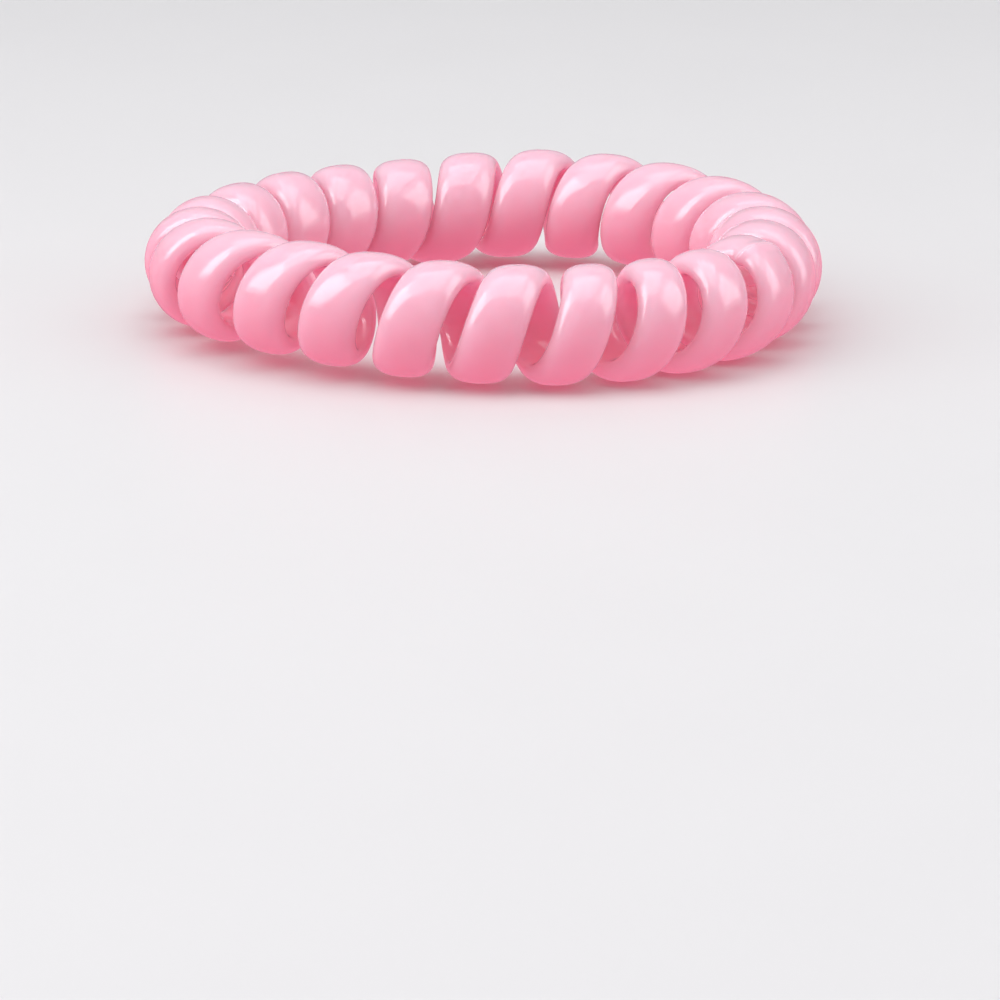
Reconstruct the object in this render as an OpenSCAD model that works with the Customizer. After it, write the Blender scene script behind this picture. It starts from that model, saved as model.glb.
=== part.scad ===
// Spiral hair tie: one flattened cord, wound into a coil, bent into a ring and welded end to end.
// It lies flat, with the origin on the floor under its middle and +Z up.

/* [Ring] */
// Outside diameter of the ring over its coil, on average
ring_od = 56; // [54:0.5:64]

/* [Coil] */
// Outside diameter of one turn of the coil
coil_od = 9.5; // [8.5:0.1:11]
// Smallest gap between one turn and the next, at the inside of the ring
turn_gap = 0.2; // [0.15:0.05:1]

/* [Cord] */
// Width of the flattened cord, where its neighbours leave it room
cord_w = 5; // [4:0.1:5.6]
// Rise of the domed outer face above the cord's widest line
dome_h = 1.4; // [1:0.1:2]
// Depth of the flatter inner face below the cord's widest line
inner_h = 0.5; // [0.3:0.1:1]
// Fullness of the outer face, from 2 for an ellipse to 4 for a squarer face
dome_fullness = 2.4; // [2:0.1:4]
// Fullness of the inner face, from 2 for an ellipse to 4 for a squarer face
inner_fullness = 2.5; // [2:0.1:4]

/* [Weld] */
// Height of the bead where the two ends of the cord are welded
weld_h = 0.15; // [0.05:0.05:0.3]
// Length of the bead along the cord
weld_len = 1.4; // [1:0.1:2]
// Degrees round the ring from the first turn to the weld
weld_deg = 254; // [20:1:340]

/* [Hidden] */

// How the tie lies after wear, one row for each twelfth of the way round.
// It starts behind the ring's middle and goes to the left.
// lead: degrees by which the turns run ahead of an even spacing
// reach: distance of the coil's middle from the ring's middle, as a share of the mean
// lift: how far the coil's middle is above its mean height, as a share of the coil's diameter
LEAD = 0;
REACH = 1;
LIFT = 2;
LIE = [
    [1.5, 1.015, 0.04],
    [2, 0.98, -0.025],
    [2.5, 0.985, -0.01],
    [2, 1.045, -0.02],
    [-1.5, 1.045, 0.02],
    [0, 0.985, 0.045],
    [0.5, 0.985, 0.005],
    [-0.5, 1.015, -0.02],
    [-3.5, 1.01, -0.02],
    [-2.5, 0.975, -0.005],
    [-2.5, 0.985, -0.005],
    [1.5, 1.015, 0.025]
];
// Direction from the ring's middle to the first turn
start_deg = 79;

// The coil's middle line runs round the ring, and the cord's widest line winds round the coil
ring_r = (ring_od - coil_od) / 2;
wind_r = coil_od / 2 - dome_h;

// The coil is wound tight. At the inside of the ring, where the cord crosses at a slant, its turns
// fit only because the cord is squeezed a little
need = (cord_w + turn_gap) / sqrt(1 - pow((cord_w + turn_gap) / (2 * PI * wind_r), 2));
turns = ceil(2 * PI * (ring_r - wind_r) / need);
inner_pitch = 2 * PI * (ring_r - wind_r) / turns;
inner_slant = atan(inner_pitch / (2 * PI * wind_r));

// Facets: corners of the cord's section, and sections in one turn and over the weld
corners = 12;
steps = 20;
weld_steps = 6;

// Value of one column of the table at a share of the way round, on a smooth curve through its rows
function row(i) = LIE[(i + len(LIE)) % len(LIE)];
function lie(share, column) =
    let (place = share * len(LIE), i = floor(place), f = place - i,
         a = row(i - 1)[column], b = row(i)[column], c = row(i + 1)[column], d = row(i + 2)[column])
    b + f / 2 * (c - a + f * (2 * a - 5 * b + 4 * c - d + f * (3 * (b - c) + d - a)));

// Point of the coil's middle line
function middle(share) =
    let (angle = start_deg + 360 * share + lie(share, LEAD), r = ring_r * lie(share, REACH))
    [r * cos(angle), r * sin(angle), coil_od * lie(share, LIFT)];

function unit(v) = v / norm(v);

// Direction of the middle line, away from the ring's middle, and of the cord's outer face
small = 0.0001;
function along(share) = unit(middle(share + small) - middle(share - small));
function away(share) = let (t = along(share)) unit([t.y, -t.x, 0]);
function outward(share) =
    let (phase = 90 + 360 * turns * share) cos(phase) * away(share) + sin(phase) * [0, 0, 1];

// Point of the cord's widest line
function winding(share) = middle(share) + wind_r * outward(share);

// Width of the cord, which is squeezed where the turns crowd at the inside of the ring
function inside(share) = middle(share) - wind_r * away(share);
function room(share) = norm(inside(share + 0.5 / turns) - inside(share - 0.5 / turns)) * cos(inner_slant);
function width(share) = min(cord_w, room(share) - turn_gap);

// Swelling of the cord at the weld, from 1 at its middle to 0 at the bead's ends
cord_len = turns * norm([2 * PI * wind_r, 2 * PI * ring_r / turns]);
weld_half = weld_len / 2 / cord_len;
weld_place = weld_deg / 360;
function swelling(share) = let (x = abs(share - weld_place) / weld_half) x < 1 ? (1 + cos(180 * x)) / 2 : 0;

// Corner of the cord's section, across its width and outward from its widest line
function power(value, exponent) = sign(value) * pow(abs(value), exponent);
function corner(i, wide, extra) =
    let (a = 360 * i / corners, dome = sin(a) >= 0, fullness = dome ? dome_fullness : inner_fullness)
    [(wide / 2 + extra) * power(cos(a), 2 / fullness),
     ((dome ? dome_h : inner_h) + extra) * power(sin(a), 2 / fullness)];

// One section of the cord, square to its path
function section(share) =
    let (t = unit(winding(share + small / 10) - winding(share - small / 10)),
         side = unit(cross(t, outward(share))), out = cross(side, t))
    [for (i = [0:corners - 1])
        let (p = corner(i, width(share), weld_h * swelling(share))) winding(share) + p.x * side + p.y * out];

// Places of the sections: even steps, with close ones over the weld in place of those near it
even = [for (i = [0:turns * steps - 1]) i / (turns * steps)];
close = [for (i = [-weld_steps:weld_steps]) weld_place + i / weld_steps * weld_half];
keep_off = weld_half + 0.4 / (turns * steps);
places = concat(
    [for (p = even) if (p < weld_place - keep_off) p],
    close,
    [for (p = even) if (p > weld_place + keep_off) p]
);

// The whole cord closed on itself, moved so that its box stands on the floor over the origin
module cord_loop() {
    points = [for (p = places) each section(p)];
    low = [for (axis = [0:2]) min([for (p = points) p[axis]])];
    high = [for (axis = [0:2]) max([for (p = points) p[axis]])];
    n = len(places);
    faces = [
        for (i = [0:n - 1], j = [0:corners - 1])
            let (a = i * corners, b = (i + 1) % n * corners, k = (j + 1) % corners)
            each [[a + j, b + k, b + j], [a + j, a + k, b + k]]
    ];
    translate([-(low.x + high.x) / 2, -(low.y + high.y) / 2, -low.z])
        polyhedron(points, faces);
}

module coil_ring() {
    color("#e99fb3") cord_loop();
}

coil_ring();
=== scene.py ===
# %% [markdown]
# # A spiral hair tie
#
# The real thing is one flattened cord of plastic, wound into a coil like a telephone lead. The coil is bent
# into a ring, and the cord's two ends are melted together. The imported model, which is the frame for all
# that follows, has the same cord with few facets. Here it gets the smooth surface, the weld's small flaws
# and the glossy, slightly see-through material that make it look like what it is.
#
# Lengths are in millimetres until a mesh is made, because that is how such a cord is measured. Blender
# works in metres, so everything is multiplied by `MM` once, at the end.

# %% Load the frame
import math

import bpy
import numpy as np
from mathutils import Matrix, Vector


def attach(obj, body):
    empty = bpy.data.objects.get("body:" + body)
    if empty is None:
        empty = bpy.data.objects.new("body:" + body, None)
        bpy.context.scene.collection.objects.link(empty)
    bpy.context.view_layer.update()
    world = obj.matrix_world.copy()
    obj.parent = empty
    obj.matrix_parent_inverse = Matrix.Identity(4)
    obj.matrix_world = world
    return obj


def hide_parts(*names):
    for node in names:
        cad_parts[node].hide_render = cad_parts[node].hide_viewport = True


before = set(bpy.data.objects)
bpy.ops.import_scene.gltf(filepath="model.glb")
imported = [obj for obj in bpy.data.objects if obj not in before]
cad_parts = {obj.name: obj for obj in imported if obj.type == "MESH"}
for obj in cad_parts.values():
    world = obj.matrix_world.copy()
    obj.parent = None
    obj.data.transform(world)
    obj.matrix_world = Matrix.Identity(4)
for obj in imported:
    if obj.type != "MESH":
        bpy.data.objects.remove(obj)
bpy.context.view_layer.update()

MM = 0.001
scene = bpy.context.scene
print("nodes in the frame:", sorted(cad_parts))

# %% [markdown]
# ## Sizes of the tie
#
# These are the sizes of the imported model, under the same names. Two things differ, further down. The model
# gets by with 20 sections in a turn and 12 corners in a section, and a mesh that is looked at closely needs
# more, so that its gloss runs without kinks. The weld also gets a line and a step that are too fine for it.

# %% Sizes in mm
ring_od = 56.0  # outside diameter of the ring over its coil
coil_od = 9.5  # outside diameter of one turn
turn_gap = 0.2  # smallest gap between two turns, at the inside of the ring
cord_w = 5.0  # width of the flattened cord
dome_h = 1.4  # rise of the domed outer face above the cord's widest line
inner_h = 0.5  # depth of the flatter inner face below it
dome_fullness = 2.4  # 2 is an ellipse, 4 a squarer face
inner_fullness = 2.5
weld_h = 0.15  # height of the bead over the weld
weld_len = 1.4  # its length along the cord
weld_deg = 254.0  # degrees round the ring from the first turn to the weld
start_deg = 79.0  # direction from the ring's middle to the first turn

ring_r = (ring_od - coil_od) / 2
wind_r = coil_od / 2 - dome_h
need = (cord_w + turn_gap) / math.sqrt(1 - ((cord_w + turn_gap) / (2 * math.pi * wind_r)) ** 2)
turns = math.ceil(2 * math.pi * (ring_r - wind_r) / need)
inner_pitch = 2 * math.pi * (ring_r - wind_r) / turns
inner_slant = math.atan(inner_pitch / (2 * math.pi * wind_r))
cord_len = turns * math.hypot(2 * math.pi * wind_r, 2 * math.pi * ring_r / turns)
weld_place = weld_deg / 360
print(f"{turns} turns hold {cord_len:.0f} mm of cord")

# %% [markdown]
# ## How the tie lies
#
# A worn tie is never a true circle, and it never lies quite flat. The table has one row for each twelfth of
# the way round, starting behind the middle and going to the left. Its columns are: by how many degrees the
# turns run ahead of an even spacing, how far the coil is from the ring's middle as a share of the mean, and
# how far it is above its mean height as a share of the coil's diameter. A Catmull-Rom curve goes smoothly
# through the rows. It needs only the two rows on either side of a place, and it closes on itself.

# %% Table of the ring's shape
LEAD, REACH, LIFT = 0, 1, 2
LIE = np.array(
    [
        [1.5, 1.015, 0.04],
        [2, 0.98, -0.025],
        [2.5, 0.985, -0.01],
        [2, 1.045, -0.02],
        [-1.5, 1.045, 0.02],
        [0, 0.985, 0.045],
        [0.5, 0.985, 0.005],
        [-0.5, 1.015, -0.02],
        [-3.5, 1.01, -0.02],
        [-2.5, 0.975, -0.005],
        [-2.5, 0.985, -0.005],
        [1.5, 1.015, 0.025],
    ]
)


def lie(share, column):
    """One column of the table at shares of the way round, on a smooth curve through its rows."""
    place = share * len(LIE)
    i = np.floor(place).astype(int)
    f = place - i
    a, b, c, d = (LIE[(i + k) % len(LIE), column] for k in (-1, 0, 1, 2))
    return b + f / 2 * (c - a + f * (2 * a - 5 * b + 4 * c - d + f * (3 * (b - c) + d - a)))


all_round = np.linspace(0, 1, 2000)  # places all round the ring, to measure at
reach = ring_r * lie(all_round, REACH)
print(f"the coil's middle is {reach.min():.2f} to {reach.max():.2f} mm from the ring's middle")

# %% [markdown]
# ## The path of the cord
#
# The cord follows a helix whose own axis is a ring. Such a path could be drawn as a curve with a bevel, but
# Blender twists a bevel by rules of its own, and a flattened cord shows every twist. So the path is computed:
# first the coil's middle line, then the direction away from it, which turns once in every winding. That
# direction also says which way the cord's domed face looks, so the cord stays flat on its coil everywhere.

# %% Path of the cord
UP = np.array([0.0, 0.0, 1.0])
SMALL = 0.0001  # share of the way round over which a direction is measured


def unit(v):
    """The same directions with a length of 1."""
    return v / np.linalg.norm(v, axis=-1, keepdims=True)


def middle(share):
    """Points of the coil's middle line."""
    angle = np.radians(start_deg + 360 * share + lie(share, LEAD))
    r = ring_r * lie(share, REACH)
    return np.stack([r * np.cos(angle), r * np.sin(angle), coil_od * lie(share, LIFT)], axis=-1)


def away(share):
    """Directions square to the middle line, away from the ring's middle."""
    ahead = unit(middle(share + SMALL) - middle(share - SMALL))
    return unit(np.stack([ahead[..., 1], -ahead[..., 0], 0 * ahead[..., 0]], axis=-1))


def outward(share):
    """Directions in which the cord's domed face looks."""
    phase = (math.pi / 2 + 2 * math.pi * turns * share)[..., None]
    return np.cos(phase) * away(share) + np.sin(phase) * UP


def winding(share):
    """Points of the cord's widest line."""
    return middle(share) + wind_r * outward(share)


def width(share):
    """Width of the cord, which is squeezed where the turns crowd at the inside of the ring."""
    inside = [middle(s) - wind_r * away(s) for s in (share - 0.5 / turns, share + 0.5 / turns)]
    room = np.linalg.norm(inside[1] - inside[0], axis=-1) * math.cos(inner_slant)
    return np.minimum(cord_w, room - turn_gap)


print(f"the cord is {width(all_round).min():.2f} to {width(all_round).max():.2f} mm wide")

# %% [markdown]
# ## The cord's section
#
# The cord comes out of its die as a strip with a domed outer face and a flatter inner one, like a D lying on
# its back. Each face is half of a superellipse: an exponent of 2 is an ellipse, and a higher one is fuller at
# the shoulders. Corners at even angles would crowd on the shoulders and leave the faces coarse, so they are
# spread at even distances round the outline instead. The outline starts in the middle of the inner face,
# where the seam of the material's pattern is hidden.

# %% Section of the cord
CORNERS = 48  # corners of a section
FINE = 4001  # points at which its outline is measured before the corners are spread


def power(value, exponent):
    """A power that keeps the sign, so that one formula draws all four quarters of a section."""
    return np.sign(value) * np.abs(value) ** exponent


def outline(n):
    """n corners at even distances: how far across and up as shares, how far round in mm, and the girth."""
    a = np.linspace(-math.pi / 2, 3 * math.pi / 2, FINE)
    fullness = np.where(np.sin(a) >= 0, dome_fullness, inner_fullness)
    height = np.where(np.sin(a) >= 0, dome_h, inner_h)
    x, y = power(np.cos(a), 2 / fullness), power(np.sin(a), 2 / fullness)
    step = np.hypot(np.diff(x) * cord_w / 2, np.diff(y) * height[1:])
    walked = np.concatenate([[0], np.cumsum(step)])
    at = np.linspace(0, walked[-1], n, endpoint=False)
    return np.interp(at, walked, x), np.interp(at, walked, y), at, walked[-1]


across, rise, round_mm, girth = outline(CORNERS)
print(f"the cord is {girth:.1f} mm round, so its corners are {girth / CORNERS:.2f} mm apart")

# %% [markdown]
# ## The weld
#
# The two ends are pressed together hot. Three things remain on a real tie: a low bead round the cord where
# melted plastic was pushed out, a fine line in its middle where the ends met, and a small step, because the
# ends are never quite in line. All three are part of the cord's own surface here, so they take the light as
# the rest does. The mesh starts and ends at the weld, as the real cord does, with close sections on
# either side of it.

# %% Weld
line_w = 0.14  # width of the line in the middle of the bead
line_h = 0.06  # its depth
step_side = 0.05  # how far one end is beside the other
step_out = 0.03  # and outside it
step_len = 5.0  # length over which the cord comes back in line


def from_weld(share):
    """Distance along the cord from the weld in mm, below 0 on the side where the cord ends."""
    gone = (share - weld_place + 0.5) % 1 - 0.5
    return gone * cord_len


def swelling(share):
    """How far the surface stands out at the bead, less the line in its middle."""
    d = np.abs(from_weld(share))
    bead = np.where(d < weld_len / 2, (1 + np.cos(2 * math.pi * d / weld_len)) / 2, 0)
    line = np.where(d < line_w / 2, (1 + np.cos(2 * math.pi * d / line_w)) / 2, 0)
    return weld_h * bead - line_h * line


def step_share(share):
    """1 at the end that stands out of line, falling to 0 away from the weld."""
    d = from_weld(share)
    return np.where(d < 0, np.clip(1 + d / step_len, 0, 1) ** 2, 0)


print(f"bead {weld_len} mm long and {weld_h} mm high, line {line_w} mm wide")

# %% [markdown]
# ## The mesh
#
# Every section is a loop of 48 corners, and each loop is joined to the next by a strip of four-sided faces.
# The last loop is joined to the first, so the cord has no ends and no caps. Each face corner also
# remembers where it is on the cord, in millimetres along it and round it. The material uses that to
# draw the die's fine lines along the cord.

# %% Sections all along the cord
STEPS = 80  # sections in one turn
NEAR_WELD = [0.02, 0.05, 0.08, 0.15, 0.25, 0.35, 0.45, 0.55, 0.65, 0.75, 1.0]  # close ones, in mm from it
KEEP_OFF = 1.2  # no evenly spaced section is nearer to the weld than this


def places():
    """Shares of the way round at which there is a section, from the weld round to the weld."""
    close = np.array(NEAR_WELD) / cord_len
    n = turns * STEPS
    even = np.arange(n) / n + 0.5 / n
    even = even[(even > KEEP_OFF / cord_len) & (even < 1 - KEEP_OFF / cord_len)]
    return weld_place + np.concatenate([close, even, 1 - close[::-1]])


def cord_points(share):
    """Corners of all the sections in mm, as sections x corners x 3."""
    ahead = unit(winding(share + SMALL / 10) - winding(share - SMALL / 10))
    side = unit(np.cross(ahead, outward(share)))
    out = np.cross(side, ahead)
    extra = swelling(share)[:, None]
    off = step_share(share)[:, None]
    height = np.where(rise >= 0, dome_h, inner_h)
    x = (width(share)[:, None] / 2 + extra) * across + step_side * off
    y = (height + extra) * rise + step_out * off
    return winding(share)[:, None] + x[..., None] * side[:, None] + y[..., None] * out[:, None]


print(f"{len(places())} sections of {CORNERS} corners")


# %% Mesh of the cord
def cord_mesh(name):
    """The cord as a mesh, and where the ring's middle is once the cord stands on the floor."""
    share = places()
    points = cord_points(share)
    low, high = points.min(axis=(0, 1)), points.max(axis=(0, 1))
    ring_middle = -np.array([(low[0] + high[0]) / 2, (low[1] + high[1]) / 2, low[2]])
    points = points + ring_middle
    n, m = len(share), CORNERS
    i, j = np.meshgrid(np.arange(n), np.arange(m), indexing="ij")
    i2, j2 = (i + 1) % n, (j + 1) % m
    faces = np.stack([i * m + j, i2 * m + j, i2 * m + j2, i * m + j2], axis=-1).reshape(-1, 4)
    mesh = bpy.data.meshes.new(name)
    mesh.from_pydata((points.reshape(-1, 3) * MM).tolist(), [], faces.tolist())
    mesh.shade_smooth()
    gone = (share - weld_place) * cord_len
    ends = np.append(gone, cord_len)
    along = np.stack([ends[i], ends[i + 1], ends[i + 1], ends[i]], axis=-1)
    edge = np.append(round_mm, girth)
    around = np.stack([edge[j], edge[j], edge[j + 1], edge[j + 1]], axis=-1)
    where = np.stack([around, along, 0 * along], axis=-1).reshape(-1, 3)
    mesh.attributes.new("cord_mm", "FLOAT_VECTOR", "CORNER").data.foreach_set("vector", where.ravel())
    return mesh, ring_middle


mesh, ring_middle = cord_mesh("coiled_cord")
cord = bpy.data.objects.new("coiled_cord", mesh)
scene.collection.objects.link(cord)
print(f"{len(mesh.polygons)} faces, middle of the ring at {ring_middle.round(2)} mm")

# %% [markdown]
# ## Material: thermoplastic polyurethane
#
# Spiral ties are extruded from clear thermoplastic polyurethane, TPU, with a little pink pigment. The surface
# is as smooth as the die and the mandrel left it, so it is glossy. TPU has an IOR of 1.5, and a glossy
# moulding a roughness of 0.05 to 0.1, which leaves the edge of a reflection a little soft.
#
# A finish is built from nodes. Two helpers for them come first, and every finish here uses them.

# %% Colours and two helpers for nodes
PALE_PINK = "#feb8c7"
DEEP_PINK = "#feb4c3"


def linear(hex_colour):
    """An sRGB hex colour as the linear numbers that Blender works with."""
    srgb = [int(hex_colour[k : k + 2], 16) / 255 for k in (1, 3, 5)]
    return [c / 12.92 if c <= 0.04045 else ((c + 0.055) / 1.055) ** 2.4 for c in srgb] + [1.0]


def blank(holder):
    """The node tree of a material or of the world, with nothing in it yet."""
    holder.use_nodes = True
    holder.node_tree.nodes.clear()
    return holder.node_tree


def add(tree, kind, settings=(), inputs=(), **links):
    """Adds a node, sets its properties and its inputs' values, and links inputs to other nodes' outputs.

    A link is named for its input, or i0 for the first input, i1 for the second and so on.
    """
    node = tree.nodes.new(kind)
    for name, value in dict(settings).items():
        setattr(node, name, value)
    for name, value in dict(inputs).items():
        node.inputs[name].default_value = value
    for name, output in links.items():
        key = int(name[1:]) if name[0] == "i" else name
        tree.links.new(output, node.inputs[key])
    return node


print("pale pink in linear numbers:", [round(v, 3) for v in linear(PALE_PINK)])

# %% [markdown]
# ## Fine relief
#
# An extruded cord is no perfect mirror. The die leaves fine lines along it, and it cools unevenly on its
# mandrel, which leaves low waves. Both bend the reflections a little, so that their edges aren't quite
# straight. In the mesh they would need millions of faces. As bumps they do the same to the light, and they
# are too low to be missed in the outline.

# %% Fine relief of the cord
LINE_APART = 0.4  # between the die's lines, in mm
LINE_LONG = 30.0
LINE_HIGH = 0.002
WAVE_LONG = 3.0  # from one wave of the surface to the next, in mm
WAVE_HIGH = 0.012


def relief(tree):
    """Nodes for the height of the lines and waves in mm, and for the waves alone from 0 to 1."""
    # Lines that the die draws along the cord. Real ones are a few hundredths of a millimetre apart and
    # hundreds of millimetres long. Here they are coarser and shorter, so that they show at all.
    where = add(tree, "ShaderNodeAttribute", {"attribute_name": "cord_mm"})
    scale = (1 / LINE_APART, 1 / LINE_LONG, 1)
    stretch = add(tree, "ShaderNodeMapping", inputs={"Scale": scale}, Vector=where.outputs["Vector"])
    lines = add(tree, "ShaderNodeTexNoise", inputs={"Scale": 1.0, "Detail": 2.0}, Vector=stretch.outputs[0])
    # Waves left by the cord's uneven cooling on the mandrel.
    body = add(tree, "ShaderNodeTexCoord")
    waves = add(
        tree,
        "ShaderNodeTexNoise",
        inputs={"Scale": 1 / (WAVE_LONG * MM), "Detail": 1.0},
        Vector=body.outputs["Object"],
    )
    fine = add(tree, "ShaderNodeMath", {"operation": "MULTIPLY"}, {1: LINE_HIGH}, i0=lines.outputs["Fac"])
    height = add(
        tree,
        "ShaderNodeMath",
        {"operation": "MULTIPLY_ADD"},
        {1: WAVE_HIGH},
        i0=waves.outputs["Fac"],
        i2=fine.outputs[0],
    )
    return height.outputs[0], waves.outputs["Fac"]


print(f"die lines {LINE_APART} mm apart, waves {WAVE_LONG} mm long")

# %% [markdown]
# ## Light inside the plastic
#
# The plastic lets light in. It spreads some millimetres, red light furthest, before it comes out again.
# Subsurface scattering does this. A painted gradient could imitate it from one side, but it would be wrong
# from every other.
#
# The base colour keeps nearly all of the red. Light that is thrown back and forth between the turns loses
# green and blue each time and hardly any red. That is why the slots and the hollow of the coil are a deep,
# warm pink and never black or brown.

# %% Pink TPU
SPREAD = (5.5, 3.4, 3.8)  # how far red, green and blue light spreads in the plastic, in mm
SMOOTH = 0.06  # roughness of the clean surface
HANDLED = 0.08  # and where it has been touched


def pink_tpu():
    """Glossy plastic that lets light in, with its relief and its slightly uneven tint."""
    material = bpy.data.materials.new("pink_tpu")
    tree = blank(material)
    height, waves = relief(tree)
    bump = add(tree, "ShaderNodeBump", inputs={"Strength": 1.0, "Distance": MM}, Height=height)
    gloss = add(
        tree,
        "ShaderNodeMapRange",
        inputs={"From Min": 0.3, "From Max": 0.7, "To Min": SMOOTH, "To Max": HANDLED},
        Value=waves,
    )
    # The pigment is not quite evenly mixed.
    tint = add(tree, "ShaderNodeMix", {"data_type": "RGBA"}, i0=waves)
    tint.inputs["A"].default_value = linear(PALE_PINK)
    tint.inputs["B"].default_value = linear(DEEP_PINK)
    plastic = add(
        tree,
        "ShaderNodeBsdfPrincipled",
        {"subsurface_method": "RANDOM_WALK"},
        {
            "IOR": 1.5,
            "Subsurface Weight": 1.0,
            "Subsurface Radius": SPREAD,
            "Subsurface Scale": 1.0 * MM,
        },
        Normal=bump.outputs[0],
        Roughness=gloss.outputs[0],
    )
    tree.links.new(tint.outputs["Result"], plastic.inputs["Base Color"])
    add(tree, "ShaderNodeOutputMaterial", Surface=plastic.outputs[0])
    return material


mesh.materials.append(pink_tpu())
print("the cord has", [m.name for m in mesh.materials])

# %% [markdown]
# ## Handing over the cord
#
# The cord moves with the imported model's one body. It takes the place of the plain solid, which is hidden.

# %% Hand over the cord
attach(cord, "root")
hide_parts("coil_ring")
print(cord.name, "stands for coil_ring")

# %% [markdown]
# ## Floor
#
# A plain pale board, matt, and large enough to reach past the top of the picture at the camera's low angle.
# The tie's shadow and its pink light fall on it. The board itself gives the tie no light, isn't mirrored in
# its gloss and casts no shadow, because the real tie's undersides glow pink and a white board would grey
# them. The lower half of the room, which is set further down, lights them instead.

# %% Floor
HALF = 1.6  # half of the board's side, in metres
GRAIN = 60.0  # patches of duller sheen in a metre, so they are 17 mm apart


def floor_board():
    """A matt white board under the tie, with a faint grain in its sheen."""
    material = bpy.data.materials.new("white_board")
    tree = blank(material)
    body = add(tree, "ShaderNodeTexCoord")
    grain = add(
        tree,
        "ShaderNodeTexNoise",
        inputs={"Scale": GRAIN, "Detail": 3.0},
        Vector=body.outputs["Object"],
    )
    matt = add(
        tree, "ShaderNodeMapRange", inputs={"To Min": 0.42, "To Max": 0.5}, Value=grain.outputs["Fac"]
    )
    board = add(
        tree,
        "ShaderNodeBsdfPrincipled",
        inputs={"Base Color": linear("#d8cfd0"), "IOR": 1.45, "Specular IOR Level": 0.3},
        Roughness=matt.outputs[0],
    )
    add(tree, "ShaderNodeOutputMaterial", Surface=board.outputs[0])
    plane = bpy.data.meshes.new("floor")
    corners = [(-HALF, -HALF, 0), (HALF, -HALF, 0), (HALF, HALF, 0), (-HALF, HALF, 0)]
    plane.from_pydata(corners, [], [(0, 1, 2, 3)])
    plane.materials.append(material)
    floor = bpy.data.objects.new("floor", plane)
    scene.collection.objects.link(floor)
    return floor


floor = floor_board()
floor.visible_diffuse = False
floor.visible_glossy = False
floor.visible_shadow = False
print("floor is", round(floor.dimensions.x, 1), "m across")

# %% [markdown]
# ## Light
#
# Glossy plastic shows its lights as reflections, so their shapes matter as much as their strength. On the
# real tie each turn wears an arch of light: a bright leg with a slanted end on its left shoulder, a shorter
# one on its right, and a weaker bow over the top that joins them. So there is a softbox on either side,
# leaning in over the tie, which slants the leg's end, and a third overhead.
#
# The face between the legs is calm, so nothing bright stands in front. The light that the face still has
# comes from a low panel that gives light but isn't reflected, as from a wide pale room. Because it is low,
# the turns in front keep it off the lower part of those behind. A second one behind shines through the
# turns' edges.
#
# A real softbox is brighter in the middle, where its lamp is. So each side has a second, smaller light, which
# only reflections show. It hangs a little nearer than its box, because where two lights lie in one plane a
# reflection shows only one of them.
#
# Strength is given as brightness, because that is what a reflection shows. The power in watts follows from
# it and from the area.

# %% Softboxes
DAYLIGHT = "#f5feff"  # a touch cooler than white


def softbox(name, middle, across, up, brightness, mirrored=True, shading=True):
    """A rectangular light, facing the tie, with its middle and its two edges given as vectors in metres.

    It shows in reflections where mirrored is true, and lights surfaces where shading is true.
    """
    middle, across, up = Vector(middle), Vector(across), Vector(up)
    light = bpy.data.lights.new(name, "AREA")
    light.shape = "RECTANGLE"
    light.size, light.size_y = across.length, up.length
    light.energy = brightness * math.pi * across.length * up.length
    light.color = linear(DAYLIGHT)[:3]
    box = bpy.data.objects.new(name, light)
    # A light shines along its own -Z, so across, up and the way out from the tie make a right-handed set.
    if across.cross(up).dot(middle) < 0:
        across = -across
    x, y = across.normalized(), up.normalized()
    box.location = middle
    box.rotation_mode = "QUATERNION"
    box.rotation_quaternion = Matrix((x, y, x.cross(y))).transposed().to_quaternion()
    box.visible_camera = False
    box.visible_glossy = mirrored
    box.visible_diffuse = shading
    scene.collection.objects.link(box)
    print(f"{name}: {across.length:.2f} x {up.length:.2f} m, {light.energy:.1f} W")


# Each has its middle, its two edges and its brightness.
softbox("softbox_left", (-0.35, -0.11, 0.29), (0, 0.34, 0), (0.3, 0, 0.42), 3.0)
softbox("middle_left", (-0.33, -0.11, 0.27), (0, 0.24, 0), (0.2, 0, 0.28), 3.8, shading=False)
softbox("softbox_right", (0.36, -0.06, 0.265), (0, 0.4, 0), (-0.28, 0, 0.39), 1.5)
softbox("middle_right", (0.34, -0.06, 0.245), (0, 0.28, 0), (-0.18, 0, 0.25), 2.6, shading=False)
softbox("softbox_top", (0, 0.02, 0.6), (0.5, 0, 0), (0, 0.6, 0), 2.4)
softbox("fill_front", (0, -0.4, 0.04), (1.02, 0, 0), (0, 0, 0.08), 2.5, mirrored=False)
softbox("fill_back", (0, 0.5, 0.36), (1.2, 0, 0), (0, 0, 0.7), 0.9, mirrored=False)

# %% [markdown]
# ## The room
#
# The room adds a little light from all round. Its upper half is a faint, cool white. Its lower half is rose,
# which is what makes the undersides glow. A lamp below the floor would show as a spot in the gloss, and the
# room has no edges that could. It is one background for each half, mixed by the height of the direction
# that a ray comes from.

# %% Room
ROSE = "#fb9bb5"
COOL_WHITE = "#ebf2f5"


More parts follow.
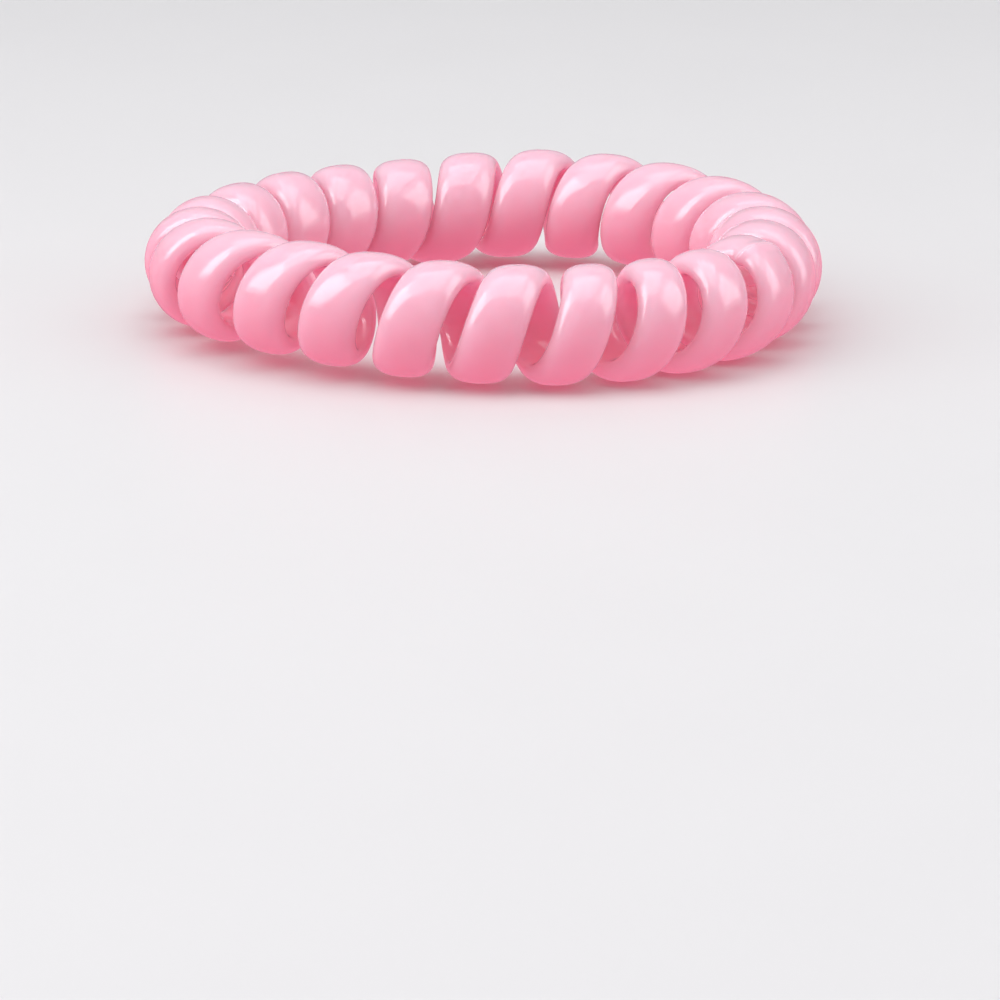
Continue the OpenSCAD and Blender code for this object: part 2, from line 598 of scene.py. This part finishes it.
def room():
    """Faint light from all round above, and a rose glow from below."""
    world = bpy.data.worlds.new("room")
    tree = blank(world)
    around = add(tree, "ShaderNodeTexCoord")
    part = add(tree, "ShaderNodeSeparateXYZ", Vector=around.outputs["Generated"])
    # The two halves blend within 3 degrees of the horizon, so that no line shows in the gloss.
    height = add(
        tree, "ShaderNodeMapRange", inputs={"From Min": -0.05, "From Max": 0.05}, Value=part.outputs["Z"]
    )
    below = add(tree, "ShaderNodeBackground", inputs={"Color": linear(ROSE), "Strength": 0.9})
    above = add(tree, "ShaderNodeBackground", inputs={"Color": linear(COOL_WHITE), "Strength": 0.25})
    both = add(
        tree,
        "ShaderNodeMixShader",
        i0=height.outputs["Result"],
        i1=below.outputs[0],
        i2=above.outputs[0],
    )
    add(tree, "ShaderNodeOutputWorld", Surface=both.outputs[0])
    return world


scene.world = room()
# Standard shows the colours as they are. The default transform would grey the pink.
scene.view_settings.view_transform = "Standard"
print("world:", scene.world.name, "shown with", scene.view_settings.view_transform)

# %% [markdown]
# ## Camera
#
# The camera looks down on the ring at 12 degrees, from 36 cm away, through a long lens. Its place was found
# by laying the cord's outline over the real one. It doesn't look at the tie's middle: the tie is in the upper
# part of the picture, as it was seen. So the camera is aimed in three turns: at the ring's middle, then off
# it by the angle of some pixels, and last by a slight roll.

# %% Place and direction of the camera
distance = 360.0  # from the ring's middle, in mm
look_down = 12.05  # degrees
picture_px = 1000.0  # width and height of the picture
focal_px = 4292.0  # focal length in its pixels
ring_px = (492.3, 261.6)  # where the ring's middle is in the picture
roll_deg = -0.43

slope = math.radians(look_down)
forward = Vector((0, math.cos(slope), -math.sin(slope)))
up = Vector((0, math.sin(slope), math.cos(slope)))
right = forward.cross(up)
place = Vector(ring_middle) - forward * distance
yaw = math.atan((ring_px[0] - picture_px / 2) / focal_px)
pitch = math.atan((ring_px[1] - picture_px / 2) / focal_px * math.cos(yaw))
turn = Matrix.Rotation(yaw, 3, up)
forward, right = turn @ forward, turn @ right
turn = Matrix.Rotation(pitch, 3, right)
forward, up = turn @ forward, turn @ up
turn = Matrix.Rotation(math.radians(roll_deg), 3, forward)
right, up = turn @ right, turn @ up
print(f"camera at {[round(v) for v in place]} mm")

# %% Camera
sensor = 36.0  # width of the sensor in mm

camera = bpy.data.objects.new("camera", bpy.data.cameras.new("camera"))
camera.data.sensor_width = sensor
camera.data.lens = focal_px / picture_px * sensor
camera.data.clip_start, camera.data.clip_end = 0.01, 10
camera.rotation_mode = "QUATERNION"
camera.rotation_quaternion = Matrix((right, up, -forward)).transposed().to_quaternion()
camera.location = place * MM
scene.collection.objects.link(camera)
scene.camera = camera
print(f"lens of {camera.data.lens:.1f} mm")
